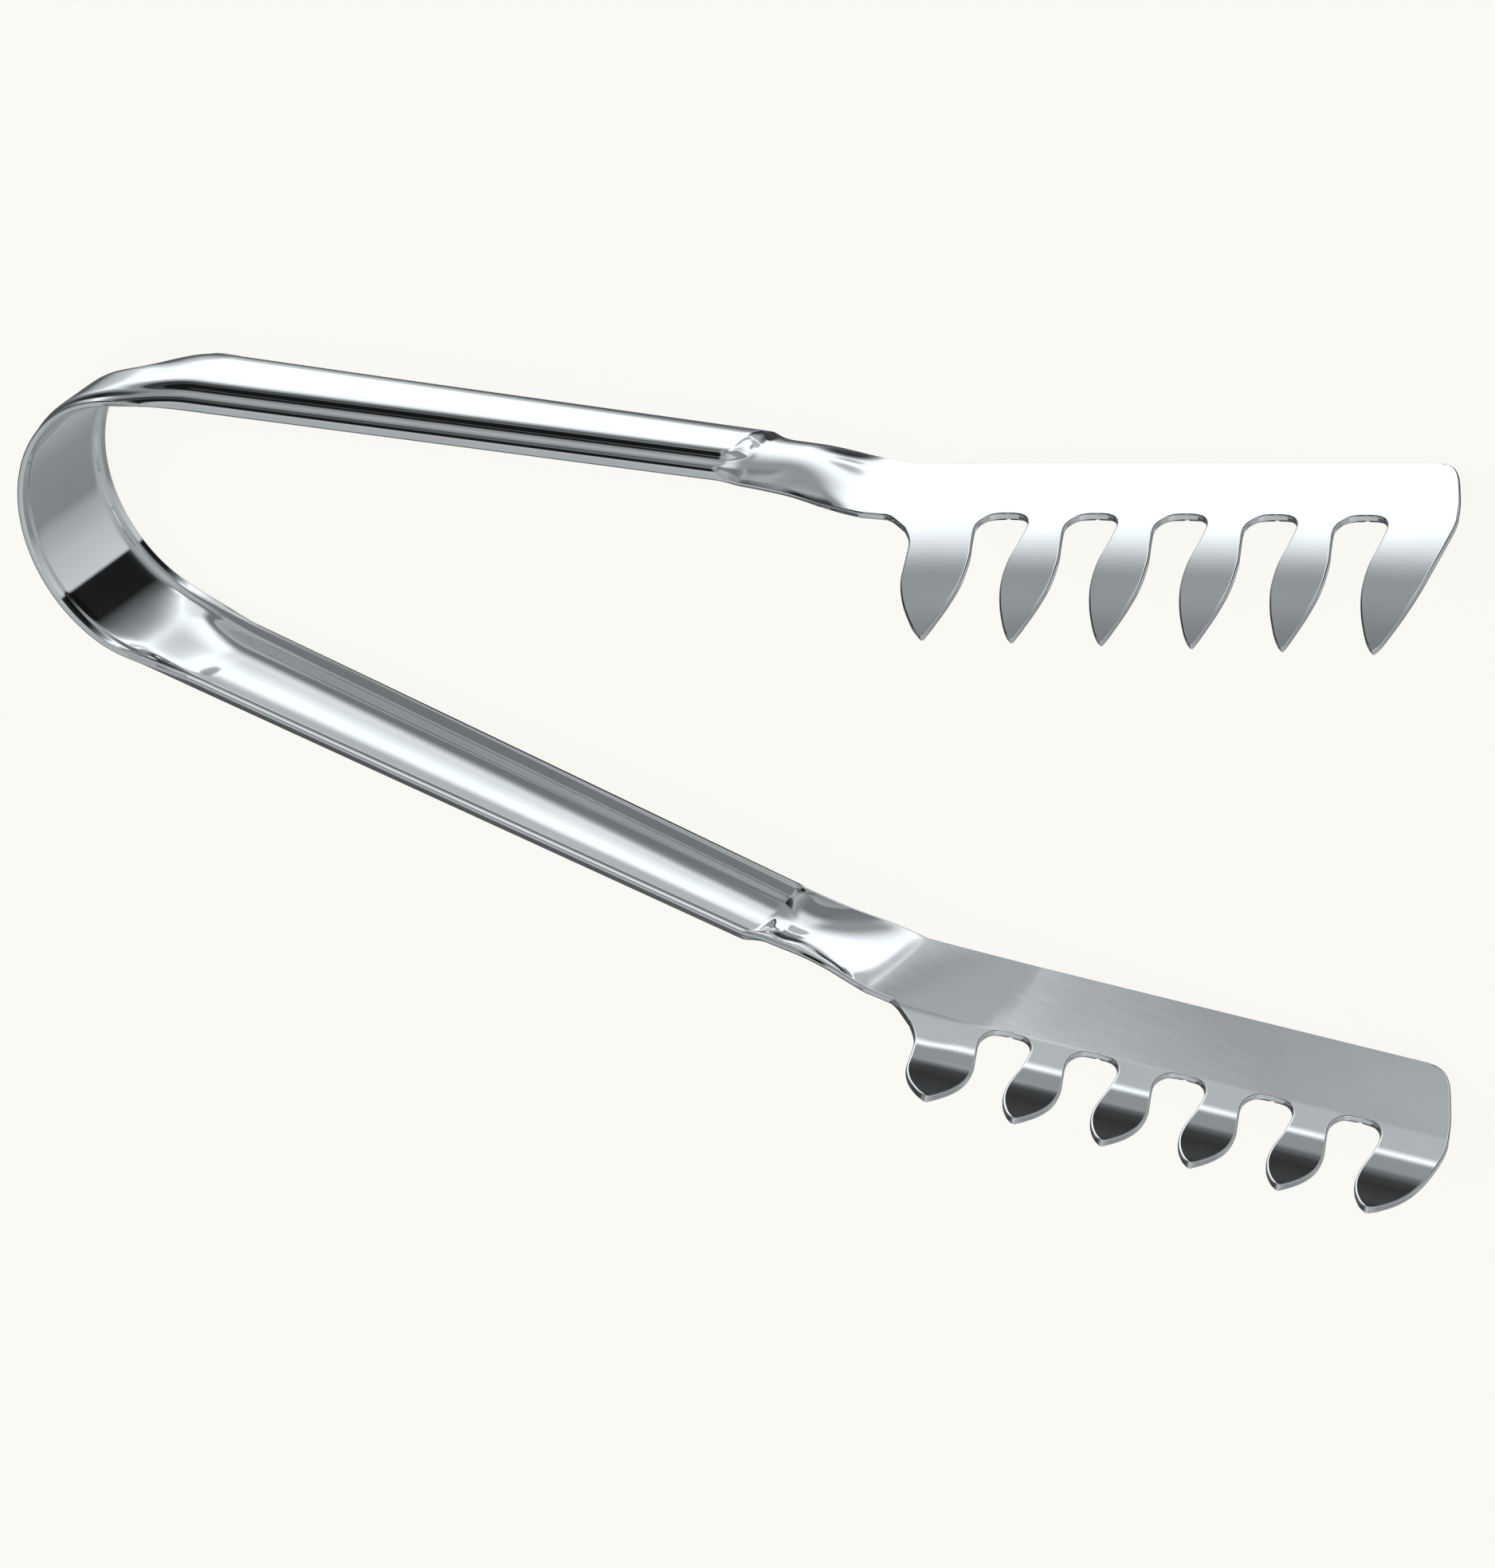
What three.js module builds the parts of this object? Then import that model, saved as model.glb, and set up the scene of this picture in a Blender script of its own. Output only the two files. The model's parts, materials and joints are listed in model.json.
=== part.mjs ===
// Spaghetti serving tongs: one strip of polished stainless sheet, bent into a springy bow,
// pressed into two channelled handles, and cut and curled into two six-toothed comb heads.
// The strip is built in sections. Adjoining sections keep a hairline gap between them.
// Millimetres and degrees. The tongs lie on their back edge: +X runs from the bow to the
// combs, +Y is the left arm, +Z is up, on the side of the teeth.

import * as THREE from "three";

const { degToRad, lerp, smoothstep } = THREE.MathUtils;

// Driving dimensions
const SHEET = 1.0; // sheet thickness
const BOW_RADIUS = 21.4; // middle of the sheet, round the bow
const ARM_LEAN = degToRad(8.6); // each arm from the centre plane
const BOW_HALF_WIDTH = 10.8; // strip round the bow
const HANDLE_HALF_WIDTH = [9.0, 7.45]; // at the folded corners: next to the bow, next to the neck
const PANEL_OUT = 0.6; // the bow's middle band, pressed outwards
const TEETH_LEDGE_OUT = 1.25; // the handle's folded corners above the bow's sheet
const BACK_LEDGE_OUT = [-0.15, 0.5]; // next to the bow, next to the neck
const LIP_OUT = { teeth: -0.14, back: -0.45 }; // the ends of the folded lips
const CROWN_OUT = 2.7; // the handle's centre panel above the bow's sheet
const HANDLE_END = { left: 104.4, right: 107.4 }; // where the panel steps down, from the end of the bow
const STEP_LENGTH = 4.4;
const NECK_END = 130.0;
const NECK_HALF_WIDTH = { teeth: 7.5, back: 7.15 };
const NECK_LIP = 0.5; // the neck's edge on the side of the teeth is folded inwards
const NECK_CROWN = 1.9; // height of the arched neck above its own edges
const HEAD_IN = 1.38; // the comb plate lies this far inside the bow's sheet
const HEAD_LEAN = degToRad(0.75); // plate to handle, inwards
const HEAD_SWELL = 0.3; // the plate domes outwards where the gaps begin
const SPINE_TURN = degToRad(17); // plate turned in its own plane, away from the teeth
const HEAD_ORIGIN = { along: 150.7, across: 4.65 }; // top of the first gap
const PLATE_DEPTH = 17.3; // back edge to the tops of the gaps
const TEETH = 6;
const PITCH = 13.0;
const TOOTH_REACH = 0.97; // length of the first tooth, as a share of its outline
const TOOTH_GROWTH = 0.012; // each tooth is this much longer than the one before
const CURL = 0.0073; // inward sag of a tooth, per mm squared of reach
const BACK_SET = 4.2; // the left arm's back edge is bent inwards this far beside the bow's end
const SET_MIDDLE = -8;
const SET_REACH = 15.5;
const JOINT_GAP = 0.6; // bow to handle, which part when the arms flex
const SEAM_GAP = 0.3; // between sections of one arm

const ARC_END = Math.PI / 2 - ARM_LEAN;
const ARC_LENGTH = BOW_RADIUS * ARC_END;

// A point of the left arm from its own coordinates: along the strip from the end of the bow
// (negative on the bow), out from the bow's sheet, and across towards the teeth.
function armPoint(along, out, across) {
  const turn = ARC_END + Math.min(along, 0) / BOW_RADIUS;
  const run = Math.max(along, 0);
  const radius = BOW_RADIUS + out;
  const x = -radius * Math.cos(turn) + run * Math.sin(turn);
  const y = radius * Math.sin(turn) + run * Math.cos(turn);
  return new THREE.Vector3(x, y, across);
}

// Half sections of the middle of the sheet, each as [across, out] from the edge to the centre.

function bowHalf() {
  const w = BOW_HALF_WIDTH;
  const rim = [0, 0.5, 0.9, 1.3].map((inset) => [w - inset, 0]);
  const rises = [[1.6, 0.12], [2.0, 0.55], [2.5, 0.92], [3.2, 1]];
  const wall = rises.map(([inset, rise]) => [w - inset, rise * PANEL_OUT]);
  const panel = [w - 4.4, w - 6, 0.45 * (w - 6), 0].map((across) => [across, PANEL_OUT]);
  return [...rim, ...wall, ...panel];
}

// Folded lip, sloping ledge, wall and crowned panel. The crown droops towards the back edge.
function handleHalf(along, side) {
  const teeth = side === "teeth";
  const share = along / HANDLE_END.left;
  const w = lerp(...HANDLE_HALF_WIDTH, share);
  const f = teeth ? TEETH_LEDGE_OUT : lerp(...BACK_LEDGE_OUT, share);
  const c = CROWN_OUT;
  const rises = [[-0.03, 0], [0.06, 0.45], [0.2, 0.8], [0.6, 1]];
  const lip = rises.map(([inset, rise]) => [inset, lerp(LIP_OUT[side], f, rise)]);
  const ledge = teeth
    ? [[1.2, f + 0.1], [1.8, f + 0.21], [2.3, f + 0.32]]
    : [[1.2, f + 0.22], [1.75, f + 0.42], [2.1, f + 0.6]];
  const wall = teeth
    ? [[2.62, f + 0.5], [3.0, c - 0.22], [3.6, c - 0.03]]
    : [[2.45, f + 0.85], [2.8, lerp(f + 1.1, c - 0.85, 0.3)], [3.6, c - 0.85]];
  const fromEdge = [...lip, ...ledge, ...wall].map(([inset, out]) => [w - inset, out]);
  return [...fromEdge, [0.5 * (w - 3.6), teeth ? c : c - 0.15], [0, c]];
}

// A broad arch that fades out into the comb plate.
function neckHalf(along, side) {
  const teeth = side === "teeth";
  const rim = teeth
    ? -HEAD_IN * smoothstep(along, 106, NECK_END)
    : -lerp(0.6, HEAD_IN, smoothstep(along, 113, 126));
  const w = NECK_HALF_WIDTH[side] + (teeth ? 2.2 * smoothstep(along, 115, 132) : 0);
  const top = lerp(NECK_CROWN - 0.4, -HEAD_IN, smoothstep(along, 113, NECK_END));
  const lip = teeth ? NECK_LIP * (1 - smoothstep(along, 121, NECK_END)) : 0;
  const folds = [1, 0.52, 0.2, 0.04];
  const insets = [0, 0.5, 1.0, 1.6, 2.3, 3.0, 3.8, 4.6, 5.3, 6.0].map((inset) => w - inset);
  return [...insets, 0.45 * (w - 6), 0].map((across, i) => [
    across,
    lerp(top, rim, (across / w) ** 2) - lip * (folds[i] ?? 0),
  ]);
}

function mixHalves(a, b, share) {
  return a.map((point, i) => point.map((value, k) => lerp(value, b[i][k], share)));
}

// The step down to the neck: steep next to the panel, then easing out.
function stepShare(along, handleEnd) {
  const t = THREE.MathUtils.clamp((along - handleEnd) / STEP_LENGTH, 0, 1);
  return 1 - (1 - (1.15 * t * t) / (t + 0.15)) ** 2;
}

function halfSection(along, side, handleEnd) {
  const pressed = mixHalves(bowHalf(), handleHalf(along, side), smoothstep(along, -6, 12));
  return mixHalves(pressed, neckHalf(along, side), stepShare(along, handleEnd));
}

// The whole section, from the teeth edge to the back edge.
function section(along, handleEnd) {
  const teethSide = halfSection(along, "teeth", handleEnd);
  const backSide = halfSection(along, "back", handleEnd).map(([across, out]) => [-across, out]);
  return [...teethSide, ...backSide.reverse().slice(1)];
}

// Offsets a section to one face of the sheet (side +1 outside, -1 inside), keeping its gauge.
function sheetFace(points, side) {
  const normals = points.slice(1).map(([z, n], i) => {
    const across = points[i][0] - z;
    const out = points[i][1] - n;
    const length = Math.hypot(across, out);
    return [-out / length, across / length];
  });
  return points.map(([z, n], i) => {
    const before = normals[Math.max(i - 1, 0)];
    const after = normals[Math.min(i, normals.length - 1)];
    const sum = [before[0] + after[0], before[1] + after[1]];
    const scale = (side * SHEET) / (sum[0] ** 2 + sum[1] ** 2);
    return [z + sum[0] * scale, n + sum[1] * scale];
  });
}

// Closes a sheet: outer and inner hold matching points, quads index them anticlockwise as
// seen from outside, and every open edge gets a wall.
function closedSheet(outer, inner, quads) {
  const count = outer.length;
  const index = [];
  const edges = new Map();
  for (const quad of quads) {
    const [a, b, c, d] = quad;
    index.push(a, b, c, a, c, d);
    index.push(a + count, c + count, b + count, a + count, d + count, c + count);
    quad.forEach((from, i) => {
      const to = quad[(i + 1) % 4];
      if (!edges.delete(to + "_" + from)) edges.set(from + "_" + to, [from, to]);
    });
  }
  for (const [from, to] of edges.values()) {
    index.push(from, from + count, to + count, from, to + count, to);
  }
  const geometry = new THREE.BufferGeometry().setFromPoints([...outer, ...inner]);
  geometry.setIndex(index);
  geometry.computeVertexNormals();
  return geometry;
}

// A stretch of strip through the given stations. Each station gives its section and a
// function that places a section's point.
function strip(stations) {
  const faces = [1, -1].map((side) =>
    stations.flatMap(({ points, place }) => sheetFace(points, side).map(([z, n]) => place(n, z))),
  );
  const columns = stations[0].points.length;
  const quads = [];
  for (let row = 0; row + 1 < stations.length; row++) {
    for (let column = 0; column + 1 < columns; column++) {
      const a = row * columns + column;
      quads.push([a, a + columns, a + columns + 1, a + 1]);
    }
  }
  return closedSheet(...faces, quads);
}

// The left arm's back half bends inwards beside the end of the bow.
function backSet(along, across) {
  const away = THREE.MathUtils.clamp((along - SET_MIDDLE) / SET_REACH, -1, 1);
  return BACK_SET * Math.cos((away * Math.PI) / 2) ** 2 * Math.max(-across / BOW_HALF_WIDTH, 0);
}

function armStrip(alongs, handleEnd, set = () => 0) {
  return strip(
    alongs.map((along) => ({
      points: section(along, handleEnd),
      place: (out, across) => armPoint(along, out - set(along, across), across),
    })),
  );
}

// The bow runs from the right arm round to the left one.
function bowStrip(steps) {
  const reach = ARC_LENGTH - JOINT_GAP / 2;
  const stations = [];
  for (let i = 0; i <= steps; i++) {
    const travel = lerp(-reach, reach, i / steps);
    const along = Math.abs(travel) - ARC_LENGTH;
    stations.push({
      points: section(along, HANDLE_END.left),
      place: (out, across) => {
        if (travel > 0) return armPoint(along, out - backSet(along, across), across);
        return armPoint(along, out, across).multiply(new THREE.Vector3(1, -1, 1));
      },
    });
  }
  return strip(stations);
}

// Comb head. Its plate has its own coordinates: u along the spine from the first gap, and
// v from the tops of the gaps towards the tips.

function headOut(along, v) {
  const lean = Math.tan(HEAD_LEAN) * Math.max(along - NECK_END - 16, 0);
  const swell = smoothstep(along, NECK_END, NECK_END + 18) * (1 - smoothstep(along, NECK_END + 15, 225));
  const spread = THREE.MathUtils.clamp(1 + v / PLATE_DEPTH, 0, 1);
  return -HEAD_IN - lean + HEAD_SWELL * swell * spread - CURL * Math.max(v, 0) ** 2;
}

function headPoint(u, v, offset) {
  const cos = Math.cos(SPINE_TURN);
  const sin = Math.sin(SPINE_TURN);
  const along = HEAD_ORIGIN.along + u * cos + v * sin;
  const across = HEAD_ORIGIN.across - u * sin + v * cos;
  const slope = -2 * CURL * Math.max(v, 0);
  const size = Math.hypot(1, slope) / offset;
  return armPoint(
    along - (slope * sin) / size,
    headOut(along, v) + 1 / size,
    across - (slope * cos) / size,
  );
}

// The two sides of a gap, from its top to the tips of the teeth beside it, as [u, v].
const GAP_TOP = 0.9;
const NEXT_TOOTH_SIDE = [
  [GAP_TOP, 0], [2.5, 0.2], [3.7, 1.05], [4.4, 2.5], [4.6, 4.3], [4.45, 8], [4.0, 12.5], [4.1, 17.5],
  [4.95, 22], [6.2, 25.8], [7.05, 27.5], [7.75, 28.25],
];
const LAST_TOOTH_SIDE = [
  [GAP_TOP, 0], [-0.7, 0.2], [-1.9, 1.05], [-2.6, 2.5], [-2.8, 4.4], [-2.3, 8], [-1.65, 12.5], [-1.65, 17.5],
  [-2.5, 22], [-3.75, 25.8], [-4.45, 27.5], [-4.95, 28.25],
];
// The first tooth's side sweeps out of the neck, and the last one's is the end of the plate.
const FIRST_TOOTH_SIDE = [
  [-17.2, -0.4], [-16.1, 0.5], [-15.1, 1.7], [-14.1, 3.0], [-13.1, 4.4], [-11.6, 8], [-11, 12.5],
  [-10.5, 17.5], [-9.2, 22], [-7.3, 25.8], [-6.1, 27.5], [-5.25, 28.25],
];
const END_TOOTH_SIDE = [
  [1.0, 0], [1.12, 0.9], [1.2, 1.8], [1.22, 3.2], [1.15, 5], [0.85, 8.5], [0.3, 12.8], [-0.6, 17.7],
  [-1.9, 22.2], [-3.35, 25.8], [-4.2, 27.5], [-4.95, 28.25],
];
const END_U = PITCH * (TEETH - 1);
// The end of the plate, from its rounded back corner up to the last tooth.
const PLATE_ROWS = [-17.3, -16.3, -13.6, -9, -4.5, 0].map((v) => (v * PLATE_DEPTH) / 17.3);
const PLATE_END = [-6.2, -3.7, -2.1, -0.8, 0.25, 1.0];

function toothSide(points, originU, tooth) {
  const reach = TOOTH_REACH + TOOTH_GROWTH * tooth;
  return new THREE.SplineCurve(points.map(([u, v]) => new THREE.Vector2(originU + u, v * reach)));
}

function toothSides(tooth) {
  const gapBefore = PITCH * (tooth - 1);
  const first = tooth === 0;
  const last = tooth === TEETH - 1;
  return [
    first ? toothSide(FIRST_TOOTH_SIDE, 0, 0) : toothSide(NEXT_TOOTH_SIDE, gapBefore, tooth),
    last ? toothSide(END_TOOTH_SIDE, END_U, tooth) : toothSide(LAST_TOOTH_SIDE, gapBefore + PITCH, tooth),
  ];
}

// A patch of quads between a near and a far line of [u, v] points, welded to its neighbours.
function addPatch(sheet, near, far, columns) {
  const ids = near.map((start, row) => {
    const ids = [];
    for (let column = 0; column <= columns; column++) {
      const u = lerp(start.x, far[row].x, column / columns);
      const v = lerp(start.y, far[row].y, column / columns);
      const key = u.toFixed(3) + "_" + v.toFixed(3);
      if (!sheet.ids.has(key)) {
        sheet.ids.set(key, sheet.outer.length);
        sheet.outer.push(headPoint(u, v, SHEET / 2));
        sheet.inner.push(headPoint(u, v, -SHEET / 2));
      }
      ids.push(sheet.ids.get(key));
    }
    return ids;
  });
  for (let row = 0; row + 1 < ids.length; row++) {
    for (let column = 0; column < columns; column++) {
      const [here, next] = [ids[row], ids[row + 1]];
      sheet.quads.push([here[column], next[column], next[column + 1], here[column + 1]]);
    }
  }
}

const uv = (u, v) => new THREE.Vector2(u, v);

// Where the plate meets the neck, on the strip's teeth and back edges.
function plateStart() {
  const along = NECK_END + SEAM_GAP - HEAD_ORIGIN.along;
  const cos = Math.cos(SPINE_TURN);
  const sin = Math.sin(SPINE_TURN);
  const ends = section(NECK_END, HANDLE_END.left).map(([across]) => across - HEAD_ORIGIN.across);
  const turned = (across) => uv(along * cos - across * sin, along * sin + across * cos);
  return [ends.at(-1), ends[0]].map(turned);
}

function combHead(toothRows, toothColumns) {
  const sheet = { ids: new Map(), outer: [], inner: [], quads: [] };
  const [startBack, startTeeth] = plateStart();
  const rowShares = PLATE_ROWS.map((v) => 1 + v / PLATE_DEPTH);
  const line = (back, teeth) => rowShares.map((share) => back.clone().lerp(teeth, share));
  const [firstU, firstV] = FIRST_TOOTH_SIDE[0];
  const firstTooth = uv(firstU, firstV * TOOTH_REACH);
  const firstGap = uv(GAP_TOP, 0);
  const flare = line(uv(-12.5, -PLATE_DEPTH), firstTooth);
  const gaps = [line(uv(GAP_TOP, -PLATE_DEPTH), firstGap)];
  for (let gap = 1; gap < TEETH - 1; gap++) {
    gaps.push(PLATE_ROWS.map((v) => uv(GAP_TOP + PITCH * gap, v)));
  }
  const end = PLATE_ROWS.map((v, i) => uv(END_U + PLATE_END[i], v));
  addPatch(sheet, line(startBack, startTeeth), flare, 2);
  addPatch(sheet, flare, gaps[0], toothColumns);
  for (let gap = 0; gap + 1 < gaps.length; gap++) addPatch(sheet, gaps[gap], gaps[gap + 1], toothColumns);
  addPatch(sheet, gaps.at(-1), end, toothColumns);
  for (let tooth = 0; tooth < TEETH; tooth++) {
    const [near, far] = toothSides(tooth).map((side) => side.getPoints(toothRows));
    addPatch(sheet, near, far, toothColumns);
  }
  return closedSheet(sheet.outer, sheet.inner, sheet.quads);
}

function mirrored(geometry) {
  const copy = geometry.clone().scale(1, -1, 1);
  const index = Array.from(copy.index.array);
  for (let i = 0; i < index.length; i += 3) [index[i], index[i + 1]] = [index[i + 1], index[i]];
  copy.setIndex(index);
  copy.computeVertexNormals();
  return copy;
}

const steel = () => new THREE.MeshStandardMaterial({ color: 0xc9cbcb, roughness: 0.12, metalness: 1 });

const handleStations = (end) => [JOINT_GAP / 2, 2, 4, 6.5, 9.5, 13, 40, 70, 97, end - SEAM_GAP / 2];
const neckStations = (end) => [
  ...[SEAM_GAP / 2, 0.6, 1.2, 2.2, 3.2, STEP_LENGTH].map((step) => end + step),
  ...[113, 115, 117, 119, 121, 123, 125, 127, NECK_END],
];

const neck = (end) => armStrip(neckStations(end), end);
const comb = combHead(22, 4);
const solids = {
  bow_spring: bowStrip(32),
  left_handle: armStrip(handleStations(HANDLE_END.left), HANDLE_END.left, backSet),
  left_neck: neck(HANDLE_END.left),
  left_comb: comb,
  right_handle: mirrored(armStrip(handleStations(HANDLE_END.right), HANDLE_END.right)),
  right_neck: mirrored(neck(HANDLE_END.right)),
  right_comb: mirrored(comb),
};

const tongs = new THREE.Group();
for (const [name, geometry] of Object.entries(solids)) {
  const mesh = new THREE.Mesh(geometry, steel());
  mesh.name = name;
  tongs.add(mesh);
}

// Laid on the back edge: the bow's back edge and the heels of both combs touch the ground.
const heel = comb.getAttribute("position");
let slope = Infinity;
for (let i = 0; i < heel.count; i++) {
  const run = heel.getX(i) + BOW_RADIUS + SHEET / 2;
  if (heel.getZ(i) < -BOW_HALF_WIDTH) slope = Math.min(slope, (heel.getZ(i) + BOW_HALF_WIDTH) / run);
}
tongs.rotation.y = Math.atan(slope);
tongs.updateMatrixWorld(true);
const box = new THREE.Box3().setFromObject(tongs, true);
tongs.position.set(-(box.min.x + box.max.x) / 2, 0, -box.min.z);

const group = new THREE.Group();
group.add(tongs);

export default group;
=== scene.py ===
"""Spaghetti serving tongs: one springy strip of polished steel with two toothed comb heads."""

import json
import math

import bmesh
import bpy
import numpy as np
from mathutils import Matrix, Vector


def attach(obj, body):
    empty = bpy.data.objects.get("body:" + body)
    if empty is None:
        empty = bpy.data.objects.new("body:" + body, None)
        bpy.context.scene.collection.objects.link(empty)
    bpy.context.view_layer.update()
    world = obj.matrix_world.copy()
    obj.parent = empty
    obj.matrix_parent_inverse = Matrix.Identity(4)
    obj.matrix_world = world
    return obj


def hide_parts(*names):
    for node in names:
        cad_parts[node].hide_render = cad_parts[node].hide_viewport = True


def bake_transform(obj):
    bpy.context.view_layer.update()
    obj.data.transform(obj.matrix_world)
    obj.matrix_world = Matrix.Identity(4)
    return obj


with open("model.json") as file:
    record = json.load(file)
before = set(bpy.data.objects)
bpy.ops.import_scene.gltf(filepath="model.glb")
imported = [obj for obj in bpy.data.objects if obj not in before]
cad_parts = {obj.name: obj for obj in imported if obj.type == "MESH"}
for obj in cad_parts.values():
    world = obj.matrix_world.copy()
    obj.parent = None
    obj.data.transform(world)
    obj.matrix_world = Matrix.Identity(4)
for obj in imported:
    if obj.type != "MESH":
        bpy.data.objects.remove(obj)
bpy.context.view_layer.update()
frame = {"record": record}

# Dimensions in millimetres. The tongs' own axes start at the centre of the bow: x towards
# the combs, y across the opening, z towards the teeth. On an arm, "along" runs from the end
# of the bow, "out" is away from the opening, and "across" is towards the teeth.
SHEET = 1.0
RIM_ROUND = 0.36  # rounding of the sheet's cut edges

BOW_RADIUS = 21.4
ARM_LEAN = math.radians(8.6)
ARC_END = math.pi / 2 - ARM_LEAN
ARC_LENGTH = BOW_RADIUS * ARC_END
BOW_HALF_WIDTH = 10.8
BOW_BAND_OUT = 0.6

# The handle. A pair of sizes is the one beside the bow and the one at the step.
HANDLE_START = (-6, 12)  # the stretch in which the bow's section becomes the handle's
HANDLE_END = {"left": 104.4, "right": 107.4}
HANDLE_HALF_WIDTH = (9.0, 7.45)
TEETH_LEDGE_OUT = 1.25
BACK_LEDGE_OUT = (-0.15, 0.5)
LIP_OUT = {"teeth": -0.14, "back": -0.45}
CROWN_OUT = 2.7
BACK_DROOP = 0.85  # how far the crowned panel falls at its back edge
STEP_LENGTH = 4.4
STEP_EASE = 0.15

# The left arm's back edge is set inwards beside the bow.
BACK_SET = 4.2
SET_MIDDLE = -8.0
SET_REACH = 15.5

# The neck, and the stretches in which its parts change.
NECK_END = 130.0
NECK_HALF_WIDTH = {"teeth": 7.5, "back": 7.15}
NECK_CROWN = 1.5
NECK_BACK_IN = 0.6
NECK_LIP = 0.5
NECK_FLARE = 2.2
CROWN_FADE = (113, NECK_END)
LIP_FADE = (121, NECK_END)
FLARE_RISE = (115, 132)
TEETH_EDGE_DROP = (106, NECK_END)
BACK_EDGE_DROP = (113, 126)

# The comb head. Its plate leans in and swells out a little.
HEAD_IN = 1.38
HEAD_LEAN = math.radians(0.75)
HEAD_LEAN_START = NECK_END + 16
HEAD_SWELL = 0.3
SWELL_RISE = (NECK_END, NECK_END + 18)
SWELL_FALL = (NECK_END + 15, 225)
SPINE_TURN = math.radians(17)
HEAD_ORIGIN = (150.7, 4.65)
PLATE_DEPTH = 17.3
FLARE_BACK = -12.5  # the place on the plate's back edge where the neck's flare ends
TEETH = 6
PITCH = 13.0
TOOTH_REACH = 0.97
TOOTH_GROWTH = 0.012
CURL = 0.0073

# Sides of the teeth, as (u, v): u along the spine from a gap's place, which is a whole number
# of pitches, and v towards the tips. The sides next to a gap meet at its top.
GAP_TOP = 0.9
NEXT_TOOTH_SIDE = [
    (GAP_TOP, 0), (2.5, 0.2), (3.7, 1.05), (4.4, 2.5), (4.6, 4.3), (4.45, 8),
    (4.0, 12.5), (4.1, 17.5), (4.95, 22), (6.2, 25.8), (7.05, 27.5), (7.75, 28.25),
]
PREVIOUS_TOOTH_SIDE = [
    (GAP_TOP, 0), (-0.7, 0.2), (-1.9, 1.05), (-2.6, 2.5), (-2.8, 4.4), (-2.3, 8),
    (-1.65, 12.5), (-1.65, 17.5), (-2.5, 22), (-3.75, 25.8), (-4.45, 27.5), (-4.95, 28.25),
]
FIRST_TOOTH_SIDE = [
    (-17.2, -0.4), (-16.1, 0.5), (-15.1, 1.7), (-14.1, 3.0), (-13.1, 4.4), (-11.6, 8),
    (-11, 12.5), (-10.5, 17.5), (-9.2, 22), (-7.3, 25.8), (-6.1, 27.5), (-5.25, 28.25),
]

# The comb's end is drawn from where one more gap would be: its last tooth's side as (u, v),
# and the plate's end as (v, u).
END_U = PITCH * (TEETH - 1)
END_TOOTH_SIDE = [
    (1.0, 0), (1.12, 0.9), (1.2, 1.8), (1.22, 3.2), (1.15, 5), (0.85, 8.5),
    (0.3, 12.8), (-0.6, 17.7), (-1.9, 22.2), (-3.35, 25.8), (-4.2, 27.5), (-4.95, 28.25),
]
PLATE_END = [(-17.3, -6.2), (-16.3, -3.7), (-13.6, -2.1), (-9, -0.8), (-4.5, 0.25), (0, 1.0)]


def lerp(a, b, t):
    return a + (b - a) * t


def smoothstep(x, lo, hi):
    t = min(max((x - lo) / (hi - lo), 0.0), 1.0)
    return t * t * (3 - 2 * t)


# ---------------------------------------------------------------- the strip's sections

# A half section has 12 control points, from the edge of the strip to its middle line.
HALF_POINTS = 12
INNER_SHARE = 0.45


def places_across(half_width, insets):
    """Places at these distances from the edge, one more inside them, and the middle line."""
    return [*(half_width - inset for inset in insets), INNER_SHARE * (half_width - insets[-1]), 0]


def bow_half():
    """Flat rim, wall and pressed middle band."""
    acrosses = places_across(BOW_HALF_WIDTH, (0, 0.5, 0.9, 1.3, 1.6, 2.0, 2.5, 3.2, 4.4, 6))
    rises = [0, 0, 0, 0, 0.12, 0.55, 0.92, 1, 1, 1, 1, 1]
    return np.array([(across, rise * BOW_BAND_OUT) for across, rise in zip(acrosses, rises)])


def handle_half(along, side):
    """Folded lip, sloping ledge, wall and crowned panel, which droops towards the back edge."""
    share = along / HANDLE_END["left"]
    half_width = lerp(*HANDLE_HALF_WIDTH, share)
    if side == "teeth":
        ledge_out = TEETH_LEDGE_OUT
        ledge = [(1.2, ledge_out + 0.1), (1.8, ledge_out + 0.21), (2.3, ledge_out + 0.32)]
        wall = [(2.62, ledge_out + 0.5), (3.0, CROWN_OUT - 0.22), (3.6, CROWN_OUT - 0.03)]
        panel_out = CROWN_OUT
    else:
        ledge_out = lerp(*BACK_LEDGE_OUT, share)
        panel_edge = CROWN_OUT - BACK_DROOP
        ledge = [(1.2, ledge_out + 0.22), (1.75, ledge_out + 0.42), (2.1, ledge_out + 0.6)]
        rise = lerp(ledge_out + 1.1, panel_edge, 0.3)
        wall = [(2.45, ledge_out + 0.85), (2.8, rise), (3.6, panel_edge)]
        panel_out = CROWN_OUT - 0.15
    folds = ((-0.03, 0), (0.06, 0.45), (0.2, 0.8), (0.6, 1))
    lip = [(inset, lerp(LIP_OUT[side], ledge_out, fold)) for inset, fold in folds]
    from_edge = [(half_width - inset, out) for inset, out in (*lip, *ledge, *wall)]
    half_way = from_edge[-1][0] / 2
    return np.array([*from_edge, (half_way, panel_out), (0, CROWN_OUT)])


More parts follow.
